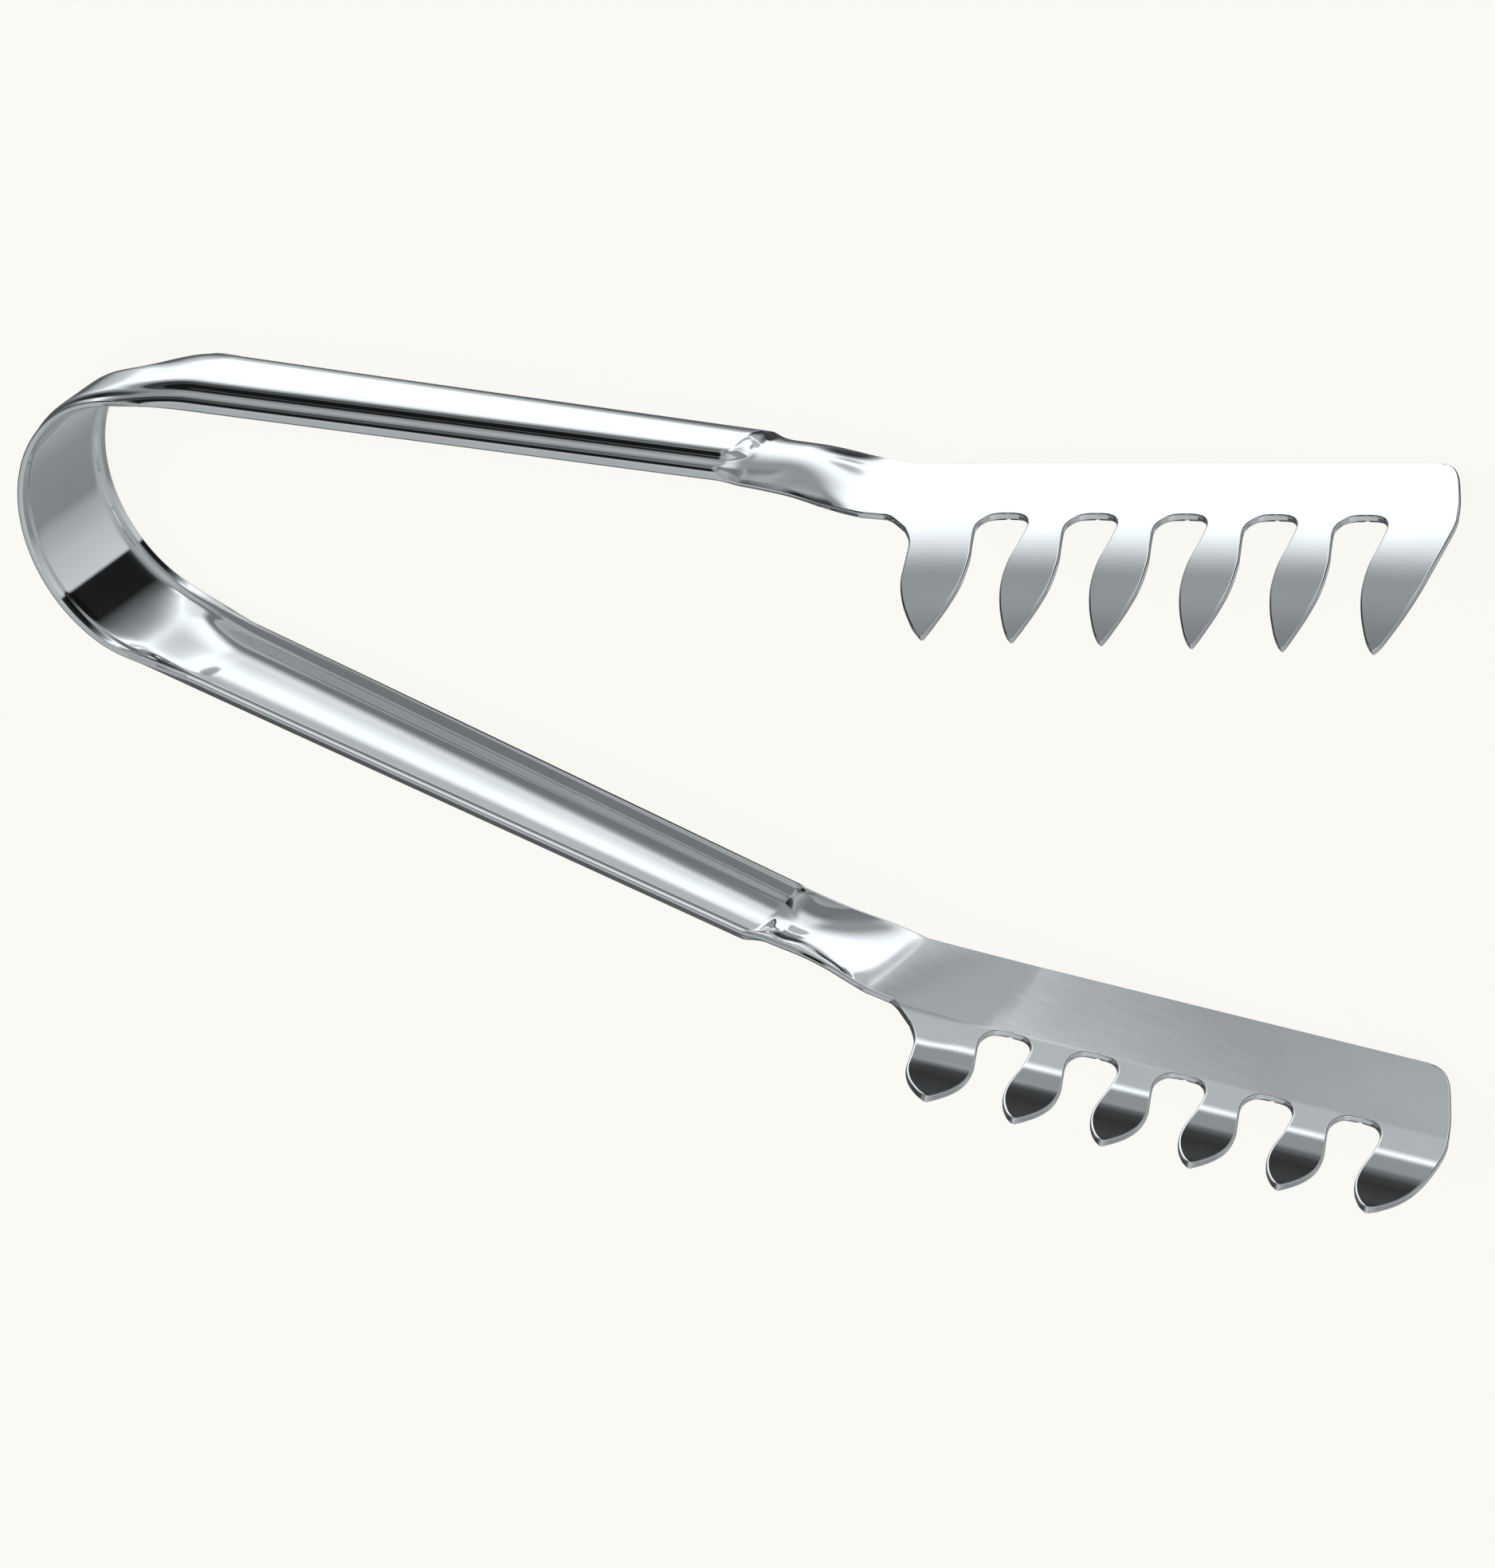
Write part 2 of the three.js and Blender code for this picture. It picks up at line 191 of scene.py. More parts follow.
def neck_half(along, side):
    """A broad arch that fades out into the comb plate."""
    if side == "teeth":
        rim = -HEAD_IN * smoothstep(along, *TEETH_EDGE_DROP)
        half_width = NECK_HALF_WIDTH[side] + NECK_FLARE * smoothstep(along, *FLARE_RISE)
        lip = NECK_LIP * (1 - smoothstep(along, *LIP_FADE))
    else:
        rim = -lerp(NECK_BACK_IN, HEAD_IN, smoothstep(along, *BACK_EDGE_DROP))
        half_width = NECK_HALF_WIDTH[side]
        lip = 0
    crown = lerp(NECK_CROWN, -HEAD_IN, smoothstep(along, *CROWN_FADE))
    acrosses = places_across(half_width, (0, 0.5, 1.0, 1.6, 2.3, 3.0, 3.8, 4.6, 5.3, 6.0))
    folds = [1, 0.52, 0.2, 0.04, 0, 0, 0, 0, 0, 0, 0, 0]
    return np.array([
        (across, lerp(crown, rim, (across / half_width) ** 2) - lip * fold)
        for across, fold in zip(acrosses, folds)
    ])


def step_share(along, handle_end):
    """The step down to the neck: steep next to the panel, then easing out."""
    share = min(max((along - handle_end) / STEP_LENGTH, 0), 1)
    return 1 - (1 - (1 + STEP_EASE) * share**2 / (share + STEP_EASE)) ** 2


def half_section(along, side, handle_end):
    pressed = lerp(bow_half(), handle_half(along, side), smoothstep(along, *HANDLE_START))
    return lerp(pressed, neck_half(along, side), step_share(along, handle_end))


def spline_weights(params, count):
    """Rows of cubic B-spline weights over count control points, ending on the end points."""
    rows = np.zeros((len(params), count))
    for row, param in zip(rows, params):
        first = min(int(param), count - 2)
        t = param - first
        basis = (
            (1 - t) ** 3 / 6,
            (3 * t**3 - 6 * t**2 + 4) / 6,
            (-3 * t**3 + 3 * t**2 + 3 * t + 1) / 6,
            t**3 / 6,
        )
        for index, weight in zip(range(first - 1, first + 3), basis):
            if index < 0:
                row[0] += 2 * weight
                row[1] -= weight
            elif index > count - 1:
                row[-1] += 2 * weight
                row[-2] -= weight
            else:
                row[index] += weight
    return rows


# Where half of the sheet has its points, counted in control points from the edge.
HALF_PARAMS = [0, 0.85, 1.2, 1.45, 1.7, 1.95, 2.2, 2.45, 2.7, 2.95, 3.2, 3.6, 4, 4.5]
HALF_PARAMS += list(np.linspace(5, 9, 13)) + [9.5, 10, 10.5]
CENTRE = HALF_POINTS - 1
SECTION_PARAMS = [*HALF_PARAMS, CENTRE, *(2 * CENTRE - param for param in reversed(HALF_PARAMS))]
SECTION_WEIGHTS = spline_weights(SECTION_PARAMS, 2 * HALF_POINTS - 1)


def section(along, handle_end):
    """The middle of the sheet as rows of (across, out), from the teeth edge to the back edge."""
    back = half_section(along, "back", handle_end) * (-1, 1)
    return SECTION_WEIGHTS @ np.vstack([half_section(along, "teeth", handle_end), back[::-1][1:]])


def back_set(along, across):
    """How far a point of the left arm is set inwards: most at the back edge, none at the middle."""
    away = min(max((along - SET_MIDDLE) / SET_REACH, -1), 1)
    return BACK_SET * math.cos(away * math.pi / 2) ** 2 * max(-across / BOW_HALF_WIDTH, 0)


def arm_point(along, out, across):
    """A point of the left arm. Negative distances along it run round the bow."""
    turn = ARC_END + min(along, 0) / BOW_RADIUS
    run = max(along, 0)
    radius = BOW_RADIUS + out
    x = -radius * math.cos(turn) + run * math.sin(turn)
    y = radius * math.sin(turn) + run * math.cos(turn)
    return (x, y, across)


# ---------------------------------------------------------------- the comb heads


def head_point(u, v):
    """A point of the left comb, whose spine is turned down from the arm's line."""
    cos, sin = math.cos(SPINE_TURN), math.sin(SPINE_TURN)
    along = HEAD_ORIGIN[0] + u * cos + v * sin
    across = HEAD_ORIGIN[1] - u * sin + v * cos
    lean = math.tan(HEAD_LEAN) * max(along - HEAD_LEAN_START, 0)
    swell = smoothstep(along, *SWELL_RISE) * (1 - smoothstep(along, *SWELL_FALL))
    spread = min(max(1 + v / PLATE_DEPTH, 0), 1)
    out = -HEAD_IN - lean + HEAD_SWELL * swell * spread - CURL * max(v, 0) ** 2
    return arm_point(along, out, across)


def spine_coordinates(along, across):
    """The (u, v) of a place on the arm, the other way round from head_point."""
    cos, sin = math.cos(SPINE_TURN), math.sin(SPINE_TURN)
    run, rise = along - HEAD_ORIGIN[0], across - HEAD_ORIGIN[1]
    return (run * cos - rise * sin, run * sin + rise * cos)


def catmull_rom(points, count):
    """count + 1 points of the uniform Catmull-Rom curve through the given ones."""
    points = np.array(points, float)
    last = len(points) - 1
    curve = []
    for param in np.linspace(0, last, count + 1):
        index = min(int(param), last - 1)
        t = param - index
        start, end = points[index], points[index + 1]
        leave = (end - points[max(index - 1, 0)]) / 2
        arrive = (points[min(index + 2, last)] - start) / 2
        cubic = 2 * start - 2 * end + leave + arrive
        square = -3 * start + 3 * end - 2 * leave - arrive
        curve.append(cubic * t**3 + square * t**2 + leave * t + start)
    return np.array(curve)


def tooth_side(points, origin_u, tooth, rows):
    reach = TOOTH_REACH + TOOTH_GROWTH * tooth
    return catmull_rom([(origin_u + u, v * reach) for u, v in points], rows)


def tooth_sides(tooth, rows):
    """A tooth's two sides, from the plate to the tip, as (u, v) points."""
    before = PITCH * (tooth - 1)
    if tooth == 0:
        near = tooth_side(FIRST_TOOTH_SIDE, 0, 0, rows)
    else:
        near = tooth_side(NEXT_TOOTH_SIDE, before, tooth, rows)
    if tooth == TEETH - 1:
        return near, tooth_side(END_TOOTH_SIDE, END_U, tooth, rows)
    return near, tooth_side(PREVIOUS_TOOTH_SIDE, before + PITCH, tooth, rows)


TOOTH_ROWS = 66
PLATE_END_POINTS = 60
FLARE_COLUMNS = 6
TOOTH_COLUMNS = 9
EDGE_COLUMN = 0.42  # the column inside a cut edge, which its rounding takes
WIDEST_EDGE_SHARE = 0.25


def column_shares(width):
    """Places across a row of the given width: an edge column at each end, the rest even."""
    edge = min(EDGE_COLUMN / max(width, 1e-6), WIDEST_EDGE_SHARE)
    return [0, *np.linspace(edge, 1 - edge, TOOTH_COLUMNS - 1), 1]


def comb_patches(start):
    """The comb's patches: two facing sides as (u, v) points, and the columns' places if set.

    start is the line where the neck ends, from the back edge to the teeth edge.
    """
    start = np.array(start)
    depths = (start[:, 1] - start[0, 1]) / (start[-1, 1] - start[0, 1])

    def line(back, teeth):
        return np.array(back) + (np.array(teeth) - np.array(back)) * depths[:, None]

    plate_v = (depths - 1) * PLATE_DEPTH
    first_u, first_v = FIRST_TOOTH_SIDE[0]
    flare = line((FLARE_BACK, -PLATE_DEPTH), (first_u, first_v * TOOTH_REACH))
    gap_lines = [
        np.column_stack([np.full(len(plate_v), GAP_TOP + PITCH * gap), plate_v])
        for gap in range(TEETH - 1)
    ]
    curve = catmull_rom(PLATE_END, PLATE_END_POINTS)
    end = np.column_stack([END_U + np.interp(plate_v, curve[:, 0], curve[:, 1]), plate_v])
    lines = [flare, *gap_lines, end]
    patches = [(start, flare, np.linspace(0, 1, FLARE_COLUMNS + 1))]
    patches += [(near, far, None) for near, far in zip(lines, lines[1:])]
    patches += [(*tooth_sides(tooth, TOOTH_ROWS), None) for tooth in range(TEETH)]
    return patches


# ---------------------------------------------------------------- meshes

SIDES = [("left", 1), ("right", -1)]
SECTIONS = ["bow", "handle", "neck", "comb"]
BOW, HANDLE, NECK, COMB = range(len(SECTIONS))
PLAIN_HANDLE = (13, 97)  # the stretch of the handle in which the section changes slowly
WELD_DISTANCE = 0.003


def spaced(start, end, spacing):
    count = max(round((end - start) / spacing), 1)
    return list(np.linspace(start, end, count, endpoint=False))


def stations(handle_end):
    """The rows' places along an arm: close together where the section changes quickly."""
    plain_start, plain_end = PLAIN_HANDLE
    step_end = handle_end + STEP_LENGTH
    stretches = [
        (-ARC_LENGTH, 0, 0.75),
        (0, plain_start, 0.6),
        (plain_start, plain_end, 4),
        (plain_end, handle_end, 0.8),
        (handle_end, step_end, 0.3),
        (step_end, NECK_END, 0.8),
    ]
    return [along for stretch in stretches for along in spaced(*stretch)] + [NECK_END]


def section_of(along, handle_end):
    if along < 0:
        return BOW
    return HANDLE if along < handle_end else NECK


def add_quads(bm, rows, section_id, flip):
    """Faces between neighbouring rows of vertices, with their section as material index."""
    for row, next_row in zip(rows, rows[1:]):
        for i in range(len(row) - 1):
            corners = [row[i], next_row[i], next_row[i + 1], row[i + 1]]
            face = bm.faces.new(reversed(corners) if flip else corners)
            face.material_index = section_id


def add_arm(bm, side, mirror):
    """Half of the bow, the handle and the neck."""
    handle_end = HANDLE_END[side]
    alongs = stations(handle_end)
    rows = []
    for along in alongs:
        row = []
        for across, out in section(along, handle_end):
            inward = back_set(along, across) if side == "left" else 0
            x, y, z = arm_point(along, out - inward, across)
            row.append(bm.verts.new((x, y * mirror, z)))
        rows.append(row)
    for row, next_row, along in zip(rows, rows[1:], alongs):
        add_quads(bm, [row, next_row], section_of(along, handle_end), mirror == -1)


def add_comb(bm, side, mirror):
    neck_line = section(NECK_END, HANDLE_END[side])[::-1]
    start = [spine_coordinates(NECK_END, across) for across, out in neck_line]
    for near, far, columns in comb_patches(start):
        grid = []
        for near_point, far_point in zip(near, far):
            shares = column_shares(math.dist(near_point, far_point)) if columns is None else columns
            points = [head_point(*lerp(near_point, far_point, share)) for share in shares]
            grid.append([bm.verts.new((x, y * mirror, z)) for x, y, z in points])
        add_quads(bm, grid, COMB, mirror == -1)


def middle_surface():
    """The whole strip's middle surface in millimetres."""
    bm = bmesh.new()
    for side, mirror in SIDES:
        add_arm(bm, side, mirror)
        add_comb(bm, side, mirror)
    bmesh.ops.remove_doubles(bm, verts=bm.verts, dist=WELD_DISTANCE)
    bmesh.ops.recalc_face_normals(bm, faces=bm.faces)
    return bm


class Sheet:
    """A closed sheet as points in millimetres, their normals, and faces with their section."""

    def __init__(self):
        self.points = []
        self.normals = []
        self.faces = []
        self.sections = []

    def add(self, point, normal):
        self.points.append(point)
        self.normals.append(normal.normalized())
        return len(self.points) - 1


SHARPEST_CORNER = 0.6  # the least divisor, which keeps a sharp corner's point near its vertex


def edge_directions(bm):
    """For each vertex on a cut edge, the way out of the sheet, longer where the edge turns."""
    outwards = {}
    for edge in bm.edges:
        if not edge.is_boundary:
            continue
        loop = edge.link_loops[0]
        start, end = loop.vert, loop.link_loop_next.vert
        normal = (start.normal + end.normal).normalized()
        outward = (end.co - start.co).cross(normal).normalized()
        for vert in (start, end):
            outwards.setdefault(vert.index, []).append(outward)
    directions = {}
    for index, (first, second) in outwards.items():
        directions[index] = (first + second) / max(1 + first.dot(second), SHARPEST_CORNER)
    return directions


ROUNDING_STEPS = 4
LARGEST_ROUNDING = 0.8  # share of the shortest edge that leads inwards from a cut edge


def rounded_edge(sheet, vert, outward):
    """Points round a cut edge from the outer face to the inner one, as indices into the sheet."""
    inner_edges = [edge for edge in vert.link_edges if not edge.is_boundary]
    shortest = min(edge.calc_length() for edge in inner_edges or vert.link_edges)
    radius = min(RIM_ROUND, LARGEST_ROUNDING * shortest)
    chain = []
    steps = range(ROUNDING_STEPS + 1)
    for facing, face_steps in ((1, steps), (-1, reversed(steps))):
        for step in face_steps:
            turn = step / ROUNDING_STEPS * math.pi / 2
            cos, sin = math.cos(turn), math.sin(turn)
            move = outward * radius * (sin - 1)
            rise = vert.normal * facing * (SHEET / 2 + radius * (cos - 1))
            normal = outward.normalized() * sin + vert.normal * facing * cos
            chain.append(sheet.add(vert.co + move + rise, normal))
    return chain


def closed_sheet(bm):
    """Gives the middle surface its gauge, with rounded cut edges."""
    bm.verts.index_update()
    bm.normal_update()
    sheet = Sheet()
    outward = edge_directions(bm)
    chains = {}
    for vert in bm.verts:
        if vert.index in outward:
            chains[vert.index] = rounded_edge(sheet, vert, outward[vert.index])
        else:
            rise = vert.normal * SHEET / 2
            outer = sheet.add(vert.co + rise, vert.normal)
            chains[vert.index] = [outer, sheet.add(vert.co - rise, -vert.normal)]
    for face in bm.faces:
        corners = [chains[vert.index] for vert in face.verts]
        sheet.faces.append([chain[0] for chain in corners])
        sheet.faces.append([chain[-1] for chain in reversed(corners)])
        sheet.sections += [face.material_index] * 2
    for edge in bm.edges:
        if not edge.is_boundary:
            continue
        loop = edge.link_loops[0]
        start, end = chains[loop.vert.index], chains[loop.link_loop_next.vert.index]
        for step in range(len(start) - 1):
            sheet.faces.append([end[step], start[step], start[step + 1], end[step + 1]])
            sheet.sections.append(loop.face.material_index)
    bm.free()
    return sheet


# The tongs lie tilted on their back edge. Their place in the frame comes from the mount under
# the bow, which is the middle of the sheet on the bow's back edge.
MILLIMETRES = 1000
bow_rest = frame["record"]["mounts"][0]
Z_AXIS = -Vector(bow_rest["axis"]).normalized()
Y_AXIS = Vector((0, 1, 0))
X_AXIS = Y_AXIS.cross(Z_AXIS).normalized()
TURN = Matrix((X_AXIS, Y_AXIS, Z_AXIS)).transposed()


def place(x, y, z):
    """A point of the tongs' own axes, in millimetres, as a point of the frame, in metres."""
    from_rest = Vector((x + BOW_RADIUS, y, z + BOW_HALF_WIDTH))
    return Vector(bow_rest["pos_m"]) + TURN @ from_rest / MILLIMETRES


def boundary_loops(faces):
    """Loops of vertex indices that close the open ends of a list of faces."""
    edges = {}
    for face in faces:
        for start, end in zip(face, face[1:] + face[:1]):
            if (end, start) in edges:
                del edges[end, start]
            else:
                edges[start, end] = True
    follow = {end: start for start, end in edges}
    loops = []
    while follow:
        start, step = follow.popitem()
        loop = [start]
        while step != start:
            loop.append(step)
            step = follow.pop(step)
        loops.append(loop)
    return loops


def cut_piece(sheet, name, section_id, mirror):
    """One node's stretch of the strip as a closed solid that keeps the strip's smooth normals."""
    faces = []
    for face, face_section in zip(sheet.faces, sheet.sections):
        side = sum(sheet.points[index].y for index in face)
        if face_section == section_id and side * mirror > 0:
            faces.append(face)
    caps = boundary_loops(faces)
    used = sorted({index for face in faces for index in face})
    new_index = {old: new for new, old in enumerate(used)}
    mesh = bpy.data.meshes.new(name)
    polygons = [[new_index[index] for index in face] for face in faces + caps]
    mesh.from_pydata([place(*sheet.points[index]) for index in used], [], polygons)
    normals = [TURN @ sheet.normals[index] for index in used]
    corner_normals = []
    for number, polygon in enumerate(mesh.polygons):
        polygon.use_smooth = True
        for index in polygon.vertices:
            normal = normals[index] if number < len(faces) else polygon.normal
            corner_normals.append(tuple(normal))
    mesh.normals_split_custom_set(corner_normals)
    piece = bpy.data.objects.new(name, mesh)
    bpy.context.collection.objects.link(piece)
    return piece


# ---------------------------------------------------------------- materials

DARK_STEEL = (0.74, 0.745, 0.745, 1)
LIGHT_STEEL = (0.80, 0.80, 0.795, 1)
NOISE_RANGE = (0.3, 0.7)  # where nearly all the values of a noise texture lie


def polished_steel():
    """Mirror steel with faint patches of tone, and slight waves and scratches from polishing."""
    material = bpy.data.materials.new("polished_steel")
    material.use_nodes = True
    nodes, links = material.node_tree.nodes, material.node_tree.links
    shader = nodes["Principled BSDF"]
    shader.inputs["Metallic"].default_value = 1.0
    coordinates = nodes.new("ShaderNodeTexCoord")

    def noise(scale, detail, stretch=(1, 1, 1)):
        mapping = nodes.new("ShaderNodeMapping")
        mapping.inputs["Scale"].default_value = stretch
        texture = nodes.new("ShaderNodeTexNoise")
        texture.inputs["Scale"].default_value = scale
        texture.inputs["Detail"].default_value = detail
        links.new(coordinates.outputs["Object"], mapping.inputs["Vector"])
        links.new(mapping.outputs["Vector"], texture.inputs["Vector"])
        return texture.outputs["Fac"]

    def ranged(value, lowest, highest):
        node = nodes.new("ShaderNodeMapRange")
        node.inputs["From Min"].default_value = NOISE_RANGE[0]
        node.inputs["From Max"].default_value = NOISE_RANGE[1]
        node.inputs["To Min"].default_value = lowest
        node.inputs["To Max"].default_value = highest
        links.new(value, node.inputs["Value"])
        return node.outputs["Result"]

    def bump(height, strength, distance):
        node = nodes.new("ShaderNodeBump")
        node.inputs["Strength"].default_value = strength
        node.inputs["Distance"].default_value = distance
        links.new(height, node.inputs["Height"])
        return node

    tone = nodes.new("ShaderNodeMix")
    tone.data_type = "RGBA"
    tone.inputs["A"].default_value = DARK_STEEL
    tone.inputs["B"].default_value = LIGHT_STEEL
    links.new(ranged(noise(60, 3), 0, 1), tone.inputs["Factor"])
    links.new(tone.outputs["Result"], shader.inputs["Base Color"])
    links.new(ranged(noise(900, 4, (0.12, 1, 1)), 0.03, 0.06), shader.inputs["Roughness"])

    waves = bump(noise(110, 2), strength=0.05, distance=0.00006)
    scratches = bump(noise(2600, 3, (0.08, 1, 1)), strength=0.015, distance=0.00001)
    links.new(waves.outputs["Normal"], scratches.inputs["Normal"])
    links.new(scratches.outputs["Normal"], shader.inputs["Normal"])
    return material


PAPER = (0.965, 0.955, 0.912, 1)
MATT_SHARE = 0.06


def paper_floor():
    """Paper that glows by itself, so that only a trace of shadow falls on it."""
    material = bpy.data.materials.new("paper")
    material.use_nodes = True
    nodes, links = material.node_tree.nodes, material.node_tree.links
    nodes.clear()
    glow = nodes.new("ShaderNodeEmission")
    glow.inputs["Color"].default_value = PAPER
    matt = nodes.new("ShaderNodeBsdfDiffuse")
    matt.inputs["Color"].default_value = PAPER
    mix = nodes.new("ShaderNodeMixShader")
    mix.inputs["Fac"].default_value = MATT_SHARE
    output = nodes.new("ShaderNodeOutputMaterial")
    links.new(glow.outputs["Emission"], mix.inputs[1])
    links.new(matt.outputs["BSDF"], mix.inputs[2])
    links.new(mix.outputs["Shader"], output.inputs["Surface"])
    return material


# ---------------------------------------------------------------- the studio

# Brightness of the studio round the tongs, as (azimuth in degrees, brightness): 0 is where
# the combs point and 90 is the left arm's side. One ring of values for each height.
BELOW = [
    (-180, 0.06), (-115, 0.08), (-90, 0.45), (30, 0.5), (46, 0.5), (47, 0.007), (76, 0.007),
    (90, 0.2), (110, 0.5), (128, 0.5), (134, 0.4), (141, 0.2), (148, 0.06), (158, 0.04), (180, 0.06),
]
LOW = [
    (-180, 0.75), (-172, 0.5), (-160, 0.12), (-118, 0.12), (-95, 0.45), (-60, 0.32), (-12, 0.29),
    (-2, 0.45), (20, 0.62), (46, 0.74), (47, 0.007), (78, 0.01), (87, 0.15), (94, 0.4), (99, 0.75),
    (103, 1.4), (172, 1.4), (180, 0.75),
]
SIDE = [
    (-180, 0.1), (-120, 0.08), (-100, 0.3), (-60, 0.4), (20, 0.5), (60, 0.3), (87, 0.3), (93, 1.35),
    (101, 1.35), (104.5, 0.95), (110, 0.95), (117, 0.5), (120, 0.38), (135, 0.36), (150, 0.33),
    (165, 0.3), (180, 0.1),
]
LEVEL = [
    (-180, 0.06), (-125, 0.06), (-105, 0.35), (-60, 0.45), (20, 0.5), (60, 0.35), (95, 0.3),
    (105, 0.22), (112, 0.22), (121, 0.3), (128, 0.5), (133, 0.08), (150, 0.02), (180, 0.06),
]
HIGH = [
    (-180, 0.3), (-140, 0.1), (-123, 0.12), (-100, 0.45), (-60, 0.6), (40, 0.8), (95, 0.5),
    (112, 0.35), (127, 0.35), (132, 0.01), (144, 0.01), (149, 0.25), (180, 0.3),
]
TOP = [(-180, 0.5), (-60, 0.6), (40, 0.6), (100, 0.45), (135, 0.45), (150, 0.57), (180, 0.5)]

# Each later ring, with the heights in degrees between which it takes over from the one before.
HIGHER_RINGS = [
    (LOW, -62, -57), (SIDE, -46, -28), (LEVEL, -26, -14), (HIGH, 6, 16), (TOP, 38, 45),
]

# Grey patches in the bright part of the studio: azimuth and height in degrees, brightness,
# and the radii in degrees where each one starts to fade and ends.
PATCHES = [
    (111.3, -45.7, 0.47, 1.2, 2.8), (112.7, -47.6, 0.33, 0.5, 2.2), (118.8, -51.4, 0.58, 4.4, 7.0),
    (134, -59.5, 0.35, 2.5, 5),
]


COOL_TINT = (0.94, 1, 1.04)  # the studio's greys are slightly blue


def cool_grey(level):
    return (*(level * share for share in COOL_TINT), 1)


def direction_to(azimuth, height):
    """The way to a place in the studio, given in degrees, in the frame."""
    turn, rise = math.radians(azimuth), math.radians(height)
    flat = math.cos(rise)
    return TURN @ Vector((flat * math.cos(turn), flat * math.sin(turn), math.sin(rise)))


def studio_colour(nodes, links):
    """The studio's light by direction: the rings, with the grey patches over them."""
    direction = nodes.new("ShaderNodeTexCoord").outputs["Generated"]

    def math_node(operation, *values):
        node = nodes.new("ShaderNodeMath")
        node.operation = operation
        for socket, value in zip(node.inputs, values):
            if isinstance(value, (int, float)):
                socket.default_value = value
            else:
                links.new(value, socket)
        return node.outputs[0]

    def dot_product(axis):
        node = nodes.new("ShaderNodeVectorMath")
        node.operation = "DOT_PRODUCT"
        node.inputs[1].default_value = axis
        links.new(direction, node.inputs[0])
        return node.outputs["Value"]

    def fade(value, start, end):
        node = nodes.new("ShaderNodeMapRange")
        node.interpolation_type = "SMOOTHSTEP"
        node.inputs["From Min"].default_value = start
        node.inputs["From Max"].default_value = end
        links.new(value, node.inputs["Value"])
        return node.outputs["Result"]

    def mixed(first, factor):
        node = nodes.new("ShaderNodeMix")
        node.data_type = "RGBA"
        links.new(factor, node.inputs["Factor"])
        links.new(first, node.inputs["A"])
        return node

    forward, left, up = [dot_product(axis) for axis in (X_AXIS, Y_AXIS, Z_AXIS)]
    ring_share = math_node("MULTIPLY_ADD", math_node("ARCTAN2", left, forward), 0.5 / math.pi, 0.5)
    height = math_node("DEGREES", math_node("ARCSINE", up))

    def ring_colour(ring):
        ramp = nodes.new("ShaderNodeValToRGB")
        elements = ramp.color_ramp.elements
        elements.remove(elements[-1])
        for number, (degrees, level) in enumerate(ring):
            place_in_ring = (degrees + 180) / 360
            element = elements[0] if number == 0 else elements.new(place_in_ring)
            element.position = place_in_ring
            element.color = cool_grey(level)
        links.new(ring_share, ramp.inputs["Fac"])
        return ramp.outputs["Color"]

    colour = ring_colour(BELOW)
    for ring, start, end in HIGHER_RINGS:
        mix = mixed(colour, fade(height, start, end))
        links.new(ring_colour(ring), mix.inputs["B"])
        colour = mix.outputs["Result"]
    for azimuth, patch_height, level, inner, outer in PATCHES:
        nearness = dot_product(direction_to(azimuth, patch_height))
        start, end = math.cos(math.radians(outer)), math.cos(math.radians(inner))
        mix = mixed(colour, fade(nearness, start, end))
        mix.inputs["B"].default_value = cool_grey(level)
        colour = mix.outputs["Result"]
    return colour


def studio_world():
    """The steel mirrors the studio, and the camera sees plain paper behind the tongs."""
    world = bpy.data.worlds.new("studio")
    bpy.context.scene.world = world
    world.use_nodes = True
    nodes, links = world.node_tree.nodes, world.node_tree.links
    nodes.clear()
    studio = nodes.new("ShaderNodeBackground")
    links.new(studio_colour(nodes, links), studio.inputs["Color"])
    paper = nodes.new("ShaderNodeBackground")
    paper.inputs["Color"].default_value = PAPER
    seen = nodes.new("ShaderNodeLightPath")
    mix = nodes.new("ShaderNodeMixShader")
    output = nodes.new("ShaderNodeOutputWorld")
    links.new(seen.outputs["Is Camera Ray"], mix.inputs["Fac"])
    links.new(studio.outputs["Background"], mix.inputs[1])
    links.new(paper.outputs["Background"], mix.inputs[2])
    links.new(mix.outputs["Shader"], output.inputs["Surface"])


# The floor and the lamp, in metres and watts.
FLOOR_REACH = 4.0
FLOOR_HEIGHT = -0.0002
LAMP_SIZE = 1.6
LAMP_ENERGY = 18
LAMP_PLACE = (-0.3, 0.6, 1.6)


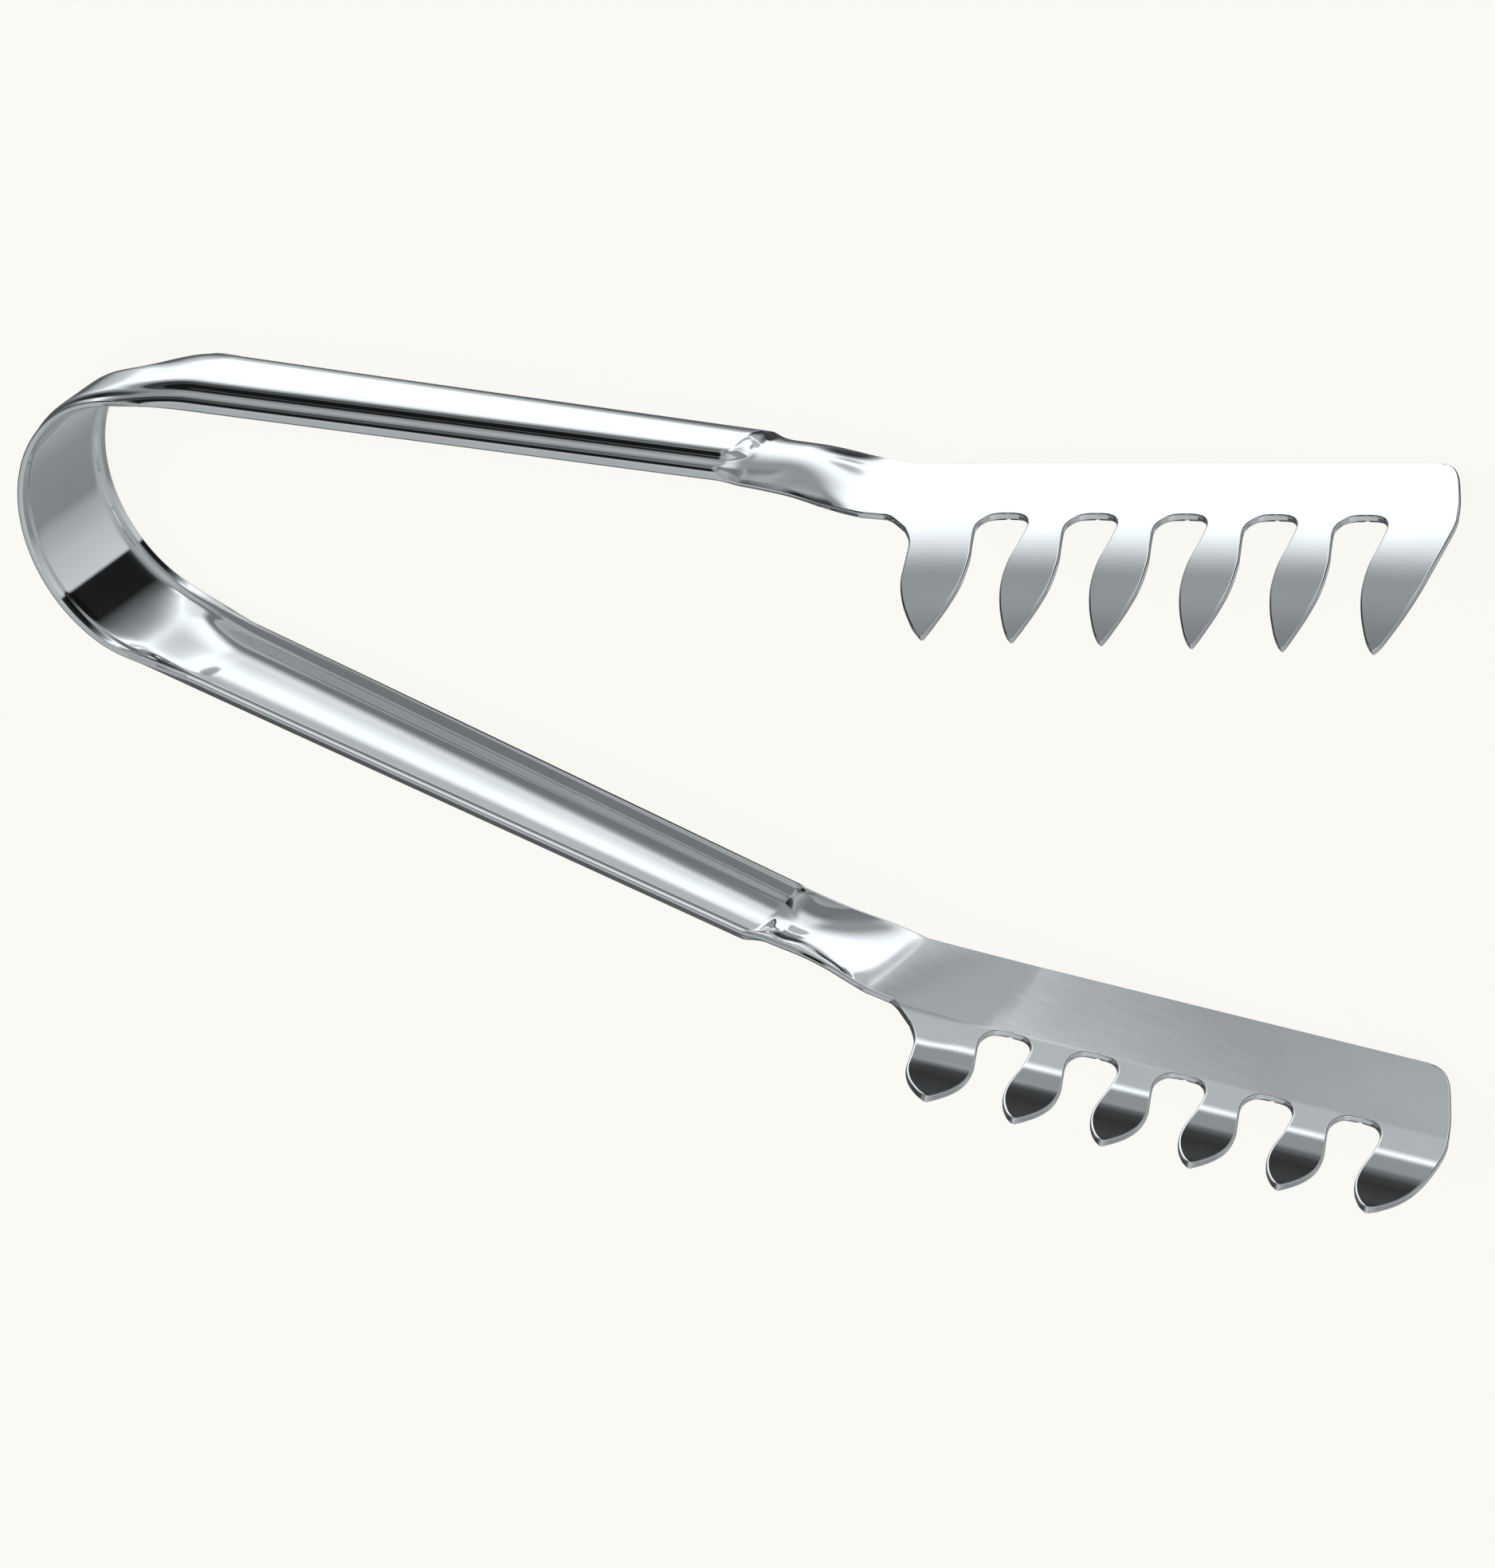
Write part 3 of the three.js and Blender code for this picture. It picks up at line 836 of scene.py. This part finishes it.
def studio_floor():
    mesh = bpy.data.meshes.new("floor")
    quarters = ((-1, -1), (1, -1), (1, 1), (-1, 1))
    corners = [(x * FLOOR_REACH, y * FLOOR_REACH, FLOOR_HEIGHT) for x, y in quarters]
    mesh.from_pydata(corners, [], [(0, 1, 2, 3)])
    floor = bpy.data.objects.new("floor", mesh)
    bpy.context.collection.objects.link(floor)
    floor.data.materials.append(paper_floor())
    floor.visible_glossy = False


def studio_light():
    lamp = bpy.data.lights.new("soft_light", "AREA")
    lamp.shape = "SQUARE"
    lamp.size = LAMP_SIZE
    lamp.energy = LAMP_ENERGY
    light = bpy.data.objects.new("soft_light", lamp)
    light.location = LAMP_PLACE
    light.rotation_euler = (-light.location).to_track_quat("-Z", "Y").to_euler()
    light.visible_glossy = False
    bpy.context.collection.objects.link(light)


# The camera's place in millimetres and its right and up directions, in the tongs' own axes,
# its lens and sensor in millimetres, and how far it sees in metres.
CAMERA_PLACE = (949.10, 890.54, 1298.99)
CAMERA_RIGHT = (0.84169, -0.01543, -0.53974)
CAMERA_UP = (-0.26136, 0.86306, -0.43224)
LENS = 285.16
SENSOR = 36
FARTHEST_SEEN = 20


def studio_camera():
    data = bpy.data.cameras.new("camera")
    data.lens = LENS
    data.sensor_width = SENSOR
    data.clip_end = FARTHEST_SEEN
    camera = bpy.data.objects.new("camera", data)
    right = TURN @ Vector(CAMERA_RIGHT)
    up = TURN @ Vector(CAMERA_UP)
    basis = Matrix((right, up, right.cross(up))).transposed()
    camera.matrix_world = Matrix.Translation(place(*CAMERA_PLACE)) @ basis.to_4x4()
    bpy.context.collection.objects.link(camera)
    bpy.context.scene.camera = camera


# ---------------------------------------------------------------- assembly


def build_tongs():
    """Each node's piece, cut from one sheet. The bow's halves stay fixed in the frame; the other
    pieces ride their arms.
    """
    sheet = closed_sheet(middle_surface())
    steel = polished_steel()
    for side, mirror in SIDES:
        for section_id, part in enumerate(SECTIONS):
            piece = cut_piece(sheet, f"{side}_{part}_steel", section_id, mirror)
            piece.data.materials.append(steel)
            if part == "bow":
                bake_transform(piece)
                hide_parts("bow_spring")
            else:
                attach(piece, f"{side}_arm")
                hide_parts(f"{side}_{part}")


build_tongs()
studio_world()
studio_floor()
studio_light()
studio_camera()
bpy.context.scene.view_settings.view_transform = "Standard"
